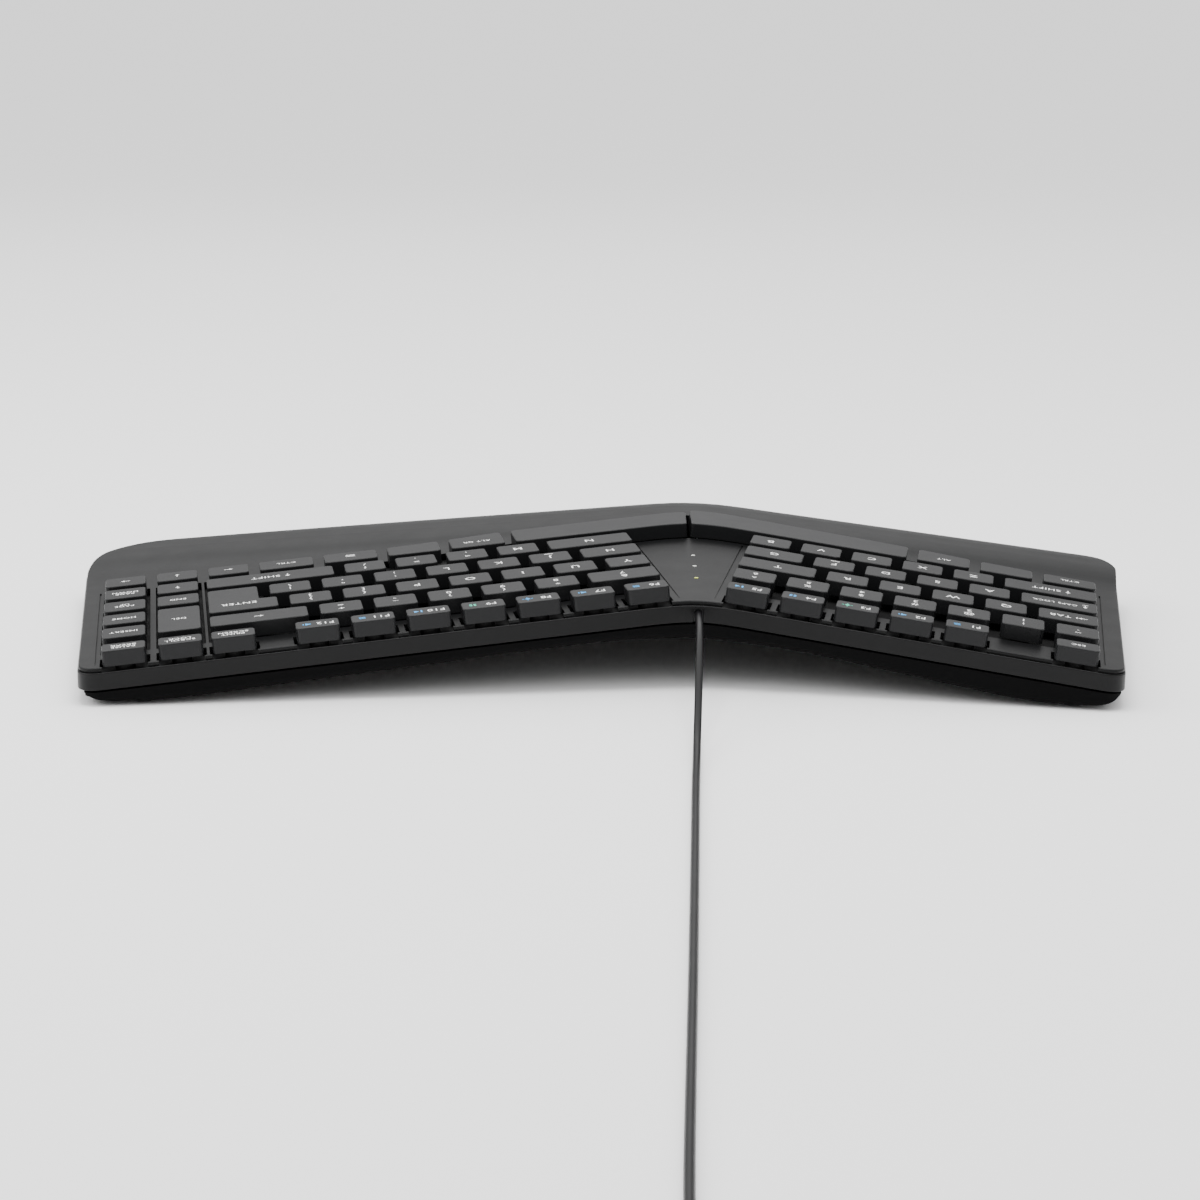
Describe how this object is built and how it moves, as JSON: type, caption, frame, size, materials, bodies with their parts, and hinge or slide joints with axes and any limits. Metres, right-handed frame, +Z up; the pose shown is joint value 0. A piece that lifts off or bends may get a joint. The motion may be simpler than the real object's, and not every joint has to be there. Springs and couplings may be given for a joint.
{
  "type": "ergonomic keyboard",
  "caption": "Split-layout ergonomic keyboard: two tented key halves, a raised palm rest, an arched base and a thin cord with a USB plug",
  "frame": {"origin": "the middle of the body's footprint, on the table the keyboard rests on", "axes": "+Z up, +Y towards the rear edge with the cord's slot, +X towards the user's right"},
  "size_m": [0.4014, 0.6224, 0.0387],
  "materials": {
    "key_plastic": "satin moulded",
    "cover_plastic": "fine satin texture",
    "band_plastic": "satin",
    "hull_plastic": "matt",
    "plate_plastic": "moulded",
    "dome_rubber": "translucent silicone",
    "membrane_film": "film",
    "board": "lacquered",
    "lens": "clear moulding",
    "foot_rubber": "matt",
    "screw_steel": "zinc plated",
    "cord_jacket": "satin",
    "shell_steel": "plated",
    "tongue_plastic": "moulded"
  },
  "bodies": {
    "case": {"top_cover": "cover_plastic", "mid_band": "band_plastic", "base_hull": "hull_plastic", "key_plate_right": "plate_plastic", "key_plate_left": "plate_plastic", "dome_sheet_right": "dome_rubber", "dome_sheet_left": "dome_rubber", "membrane_right": "membrane_film", "membrane_left": "membrane_film", "controller_board": "board", "indicator_lenses": "lens", "rubber_feet": "foot_rubber", "case_screws": "screw_steel", "cord_grommet": "cord_jacket", "cord": "cord_jacket", "cord_coil": "cord_jacket", "cord_tie": "cord_jacket", "usb_plug_grip": "cord_jacket", "usb_plug_shell": "shell_steel", "usb_contact_tongue": "tongue_plastic"},
    "function_keys_right": {"function_keys_right": "key_plastic"},
    "key_print": {"key_print": "key_plastic"},
    "key_seven": {"key_seven": "key_plastic"},
    "number_keys_right": {"number_keys_right": "key_plastic"},
    "key_backspace": {"key_backspace": "key_plastic"},
    "letter_keys_upper_right": {"letter_keys_upper_right": "key_plastic"},
    "key_enter": {"key_enter": "key_plastic"},
    "key_h": {"key_h": "key_plastic"},
    "letter_keys_home_right": {"letter_keys_home_right": "key_plastic"},
    "key_n": {"key_n": "key_plastic"},
    "letter_keys_lower_right": {"letter_keys_lower_right": "key_plastic"},
    "key_shift_right": {"key_shift_right": "key_plastic"},
    "key_alt_right": {"key_alt_right": "key_plastic"},
    "key_function": {"key_function": "key_plastic"},
    "key_menu": {"key_menu": "key_plastic"},
    "key_control_right": {"key_control_right": "key_plastic"},
    "arrow_left": {"arrow_left": "key_plastic"},
    "arrow_up": {"arrow_up": "key_plastic"},
    "arrow_down": {"arrow_down": "key_plastic"},
    "arrow_right": {"arrow_right": "key_plastic"},
    "key_delete": {"key_delete": "key_plastic"},
    "navigation_keys_inner": {"navigation_keys_inner": "key_plastic"},
    "navigation_keys_outer": {"navigation_keys_outer": "key_plastic"},
    "key_space_right": {"key_space_right": "key_plastic"},
    "function_keys_left": {"function_keys_left": "key_plastic"},
    "key_escape": {"key_escape": "key_plastic"},
    "number_keys_left": {"number_keys_left": "key_plastic"},
    "key_t": {"key_t": "key_plastic"},
    "letter_keys_upper_left": {"letter_keys_upper_left": "key_plastic"},
    "key_tab": {"key_tab": "key_plastic"},
    "key_g": {"key_g": "key_plastic"},
    "letter_keys_home_left": {"letter_keys_home_left": "key_plastic"},
    "key_caps_lock": {"key_caps_lock": "key_plastic"},
    "letter_keys_lower_left": {"letter_keys_lower_left": "key_plastic"},
    "key_shift_left": {"key_shift_left": "key_plastic"},
    "key_alt_left": {"key_alt_left": "key_plastic"},
    "key_system": {"key_system": "key_plastic"},
    "key_control_left": {"key_control_left": "key_plastic"},
    "key_space_left": {"key_space_left": "key_plastic"}
  },
  "joints": [
    {"name": "function_keys_right_press", "type": "slide", "parent": "case", "child": "function_keys_right", "axis": [0.0917, 0.0149, 0.9957], "range_m": [-0.0025, 0], "stiffness_N_per_m": 240, "deforming": ["dome_sheet_right"]},
    {"name": "key_print_press", "type": "slide", "parent": "case", "child": "key_print", "axis": [0.0917, 0.0149, 0.9957], "range_m": [-0.0025, 0], "stiffness_N_per_m": 240, "deforming": ["dome_sheet_right"]},
    {"name": "key_seven_press", "type": "slide", "parent": "case", "child": "key_seven", "axis": [0.0917, 0.0149, 0.9957], "range_m": [-0.0025, 0], "stiffness_N_per_m": 240, "deforming": ["dome_sheet_right"]},
    {"name": "number_keys_right_press", "type": "slide", "parent": "case", "child": "number_keys_right", "axis": [0.0917, 0.0149, 0.9957], "range_m": [-0.0025, 0], "stiffness_N_per_m": 240, "deforming": ["dome_sheet_right"]},
    {"name": "key_backspace_press", "type": "slide", "parent": "case", "child": "key_backspace", "axis": [0.0917, 0.0149, 0.9957], "range_m": [-0.0025, 0], "stiffness_N_per_m": 240, "deforming": ["dome_sheet_right"]},
    {"name": "letter_keys_upper_right_press", "type": "slide", "parent": "case", "child": "letter_keys_upper_right", "axis": [0.0917, 0.0149, 0.9957], "range_m": [-0.0025, 0], "stiffness_N_per_m": 240, "deforming": ["dome_sheet_right"]},
    {"name": "key_enter_press", "type": "slide", "parent": "case", "child": "key_enter", "axis": [0.0917, 0.0149, 0.9957], "range_m": [-0.0025, 0], "stiffness_N_per_m": 240, "deforming": ["dome_sheet_right"]},
    {"name": "key_h_press", "type": "slide", "parent": "case", "child": "key_h", "axis": [0.0917, 0.0149, 0.9957], "range_m": [-0.0025, 0], "stiffness_N_per_m": 240, "deforming": ["dome_sheet_right"]},
    {"name": "letter_keys_home_right_press", "type": "slide", "parent": "case", "child": "letter_keys_home_right", "axis": [0.0917, 0.0149, 0.9957], "range_m": [-0.0025, 0], "stiffness_N_per_m": 240, "deforming": ["dome_sheet_right"]},
    {"name": "key_n_press", "type": "slide", "parent": "case", "child": "key_n", "axis": [0.0917, 0.0149, 0.9957], "range_m": [-0.0025, 0], "stiffness_N_per_m": 240, "deforming": ["dome_sheet_right"]},
    {"name": "letter_keys_lower_right_press", "type": "slide", "parent": "case", "child": "letter_keys_lower_right", "axis": [0.0917, 0.0149, 0.9957], "range_m": [-0.0025, 0], "stiffness_N_per_m": 240, "deforming": ["dome_sheet_right"]},
    {"name": "key_shift_right_press", "type": "slide", "parent": "case", "child": "key_shift_right", "axis": [0.0917, 0.0149, 0.9957], "range_m": [-0.0025, 0], "stiffness_N_per_m": 240, "deforming": ["dome_sheet_right"]},
    {"name": "key_alt_right_press", "type": "slide", "parent": "case", "child": "key_alt_right", "axis": [0.0917, 0.0149, 0.9957], "range_m": [-0.0025, 0], "stiffness_N_per_m": 240, "deforming": ["dome_sheet_right"]},
    {"name": "key_function_press", "type": "slide", "parent": "case", "child": "key_function", "axis": [0.0917, 0.0149, 0.9957], "range_m": [-0.0025, 0], "stiffness_N_per_m": 240, "deforming": ["dome_sheet_right"]},
    {"name": "key_menu_press", "type": "slide", "parent": "case", "child": "key_menu", "axis": [0.0917, 0.0149, 0.9957], "range_m": [-0.0025, 0], "stiffness_N_per_m": 240, "deforming": ["dome_sheet_right"]},
    {"name": "key_control_right_press", "type": "slide", "parent": "case", "child": "key_control_right", "axis": [0.0917, 0.0149, 0.9957], "range_m": [-0.0025, 0], "stiffness_N_per_m": 240, "deforming": ["dome_sheet_right"]},
    {"name": "arrow_left_press", "type": "slide", "parent": "case", "child": "arrow_left", "axis": [0.0917, 0.0149, 0.9957], "range_m": [-0.0025, 0], "stiffness_N_per_m": 240, "deforming": ["dome_sheet_right"]},
    {"name": "arrow_up_press", "type": "slide", "parent": "case", "child": "arrow_up", "axis": [0.0917, 0.0149, 0.9957], "range_m": [-0.0025, 0], "stiffness_N_per_m": 240, "deforming": ["dome_sheet_right"]},
    {"name": "arrow_down_press", "type": "slide", "parent": "case", "child": "arrow_down", "axis": [0.0917, 0.0149, 0.9957], "range_m": [-0.0025, 0], "stiffness_N_per_m": 240, "deforming": ["dome_sheet_right"]},
    {"name": "arrow_right_press", "type": "slide", "parent": "case", "child": "arrow_right", "axis": [0.0917, 0.0149, 0.9957], "range_m": [-0.0025, 0], "stiffness_N_per_m": 240, "deforming": ["dome_sheet_right"]},
    {"name": "key_delete_press", "type": "slide", "parent": "case", "child": "key_delete", "axis": [0.0917, 0.0149, 0.9957], "range_m": [-0.0025, 0], "stiffness_N_per_m": 240, "deforming": ["dome_sheet_right"]},
    {"name": "navigation_keys_inner_press", "type": "slide", "parent": "case", "child": "navigation_keys_inner", "axis": [0.0917, 0.0149, 0.9957], "range_m": [-0.0025, 0], "stiffness_N_per_m": 240, "deforming": ["dome_sheet_right"]},
    {"name": "navigation_keys_outer_press", "type": "slide", "parent": "case", "child": "navigation_keys_outer", "axis": [0.0917, 0.0149, 0.9957], "range_m": [-0.0025, 0], "stiffness_N_per_m": 240, "deforming": ["dome_sheet_right"]},
    {"name": "key_space_right_press", "type": "slide", "parent": "case", "child": "key_space_right", "axis": [0.0917, 0.0149, 0.9957], "range_m": [-0.0025, 0], "stiffness_N_per_m": 240, "deforming": ["dome_sheet_right"]},
    {"name": "function_keys_left_press", "type": "slide", "parent": "case", "child": "function_keys_left", "axis": [-0.1229, 0.02, 0.9922], "range_m": [-0.0025, 0], "stiffness_N_per_m": 240, "deforming": ["dome_sheet_left"]},
    {"name": "key_escape_press", "type": "slide", "parent": "case", "child": "key_escape", "axis": [-0.1229, 0.02, 0.9922], "range_m": [-0.0025, 0], "stiffness_N_per_m": 240, "deforming": ["dome_sheet_left"]},
    {"name": "number_keys_left_press", "type": "slide", "parent": "case", "child": "number_keys_left", "axis": [-0.1229, 0.02, 0.9922], "range_m": [-0.0025, 0], "stiffness_N_per_m": 240, "deforming": ["dome_sheet_left"]},
    {"name": "key_t_press", "type": "slide", "parent": "case", "child": "key_t", "axis": [-0.1229, 0.02, 0.9922], "range_m": [-0.0025, 0], "stiffness_N_per_m": 240, "deforming": ["dome_sheet_left"]},
    {"name": "letter_keys_upper_left_press", "type": "slide", "parent": "case", "child": "letter_keys_upper_left", "axis": [-0.1229, 0.02, 0.9922], "range_m": [-0.0025, 0], "stiffness_N_per_m": 240, "deforming": ["dome_sheet_left"]},
    {"name": "key_tab_press", "type": "slide", "parent": "case", "child": "key_tab", "axis": [-0.1229, 0.02, 0.9922], "range_m": [-0.0025, 0], "stiffness_N_per_m": 240, "deforming": ["dome_sheet_left"]},
    {"name": "key_g_press", "type": "slide", "parent": "case", "child": "key_g", "axis": [-0.1229, 0.02, 0.9922], "range_m": [-0.0025, 0], "stiffness_N_per_m": 240, "deforming": ["dome_sheet_left"]},
    {"name": "letter_keys_home_left_press", "type": "slide", "parent": "case", "child": "letter_keys_home_left", "axis": [-0.1229, 0.02, 0.9922], "range_m": [-0.0025, 0], "stiffness_N_per_m": 240, "deforming": ["dome_sheet_left"]},
    {"name": "key_caps_lock_press", "type": "slide", "parent": "case", "child": "key_caps_lock", "axis": [-0.1229, 0.02, 0.9922], "range_m": [-0.0025, 0], "stiffness_N_per_m": 240, "deforming": ["dome_sheet_left"]},
    {"name": "letter_keys_lower_left_press", "type": "slide", "parent": "case", "child": "letter_keys_lower_left", "axis": [-0.1229, 0.02, 0.9922], "range_m": [-0.0025, 0], "stiffness_N_per_m": 240, "deforming": ["dome_sheet_left"]},
    {"name": "key_shift_left_press", "type": "slide", "parent": "case", "child": "key_shift_left", "axis": [-0.1229, 0.02, 0.9922], "range_m": [-0.0025, 0], "stiffness_N_per_m": 240, "deforming": ["dome_sheet_left"]},
    {"name": "key_alt_left_press", "type": "slide", "parent": "case", "child": "key_alt_left", "axis": [-0.1229, 0.02, 0.9922], "range_m": [-0.0025, 0], "stiffness_N_per_m": 240, "deforming": ["dome_sheet_left"]},
    {"name": "key_system_press", "type": "slide", "parent": "case", "child": "key_system", "axis": [-0.1229, 0.02, 0.9922], "range_m": [-0.0025, 0], "stiffness_N_per_m": 240, "deforming": ["dome_sheet_left"]},
    {"name": "key_control_left_press", "type": "slide", "parent": "case", "child": "key_control_left", "axis": [-0.1229, 0.02, 0.9922], "range_m": [-0.0025, 0], "stiffness_N_per_m": 240, "deforming": ["dome_sheet_left"]},
    {"name": "key_space_left_press", "type": "slide", "parent": "case", "child": "key_space_left", "axis": [-0.1229, 0.02, 0.9922], "range_m": [-0.0025, 0], "stiffness_N_per_m": 240, "deforming": ["dome_sheet_left"]}
  ]
}
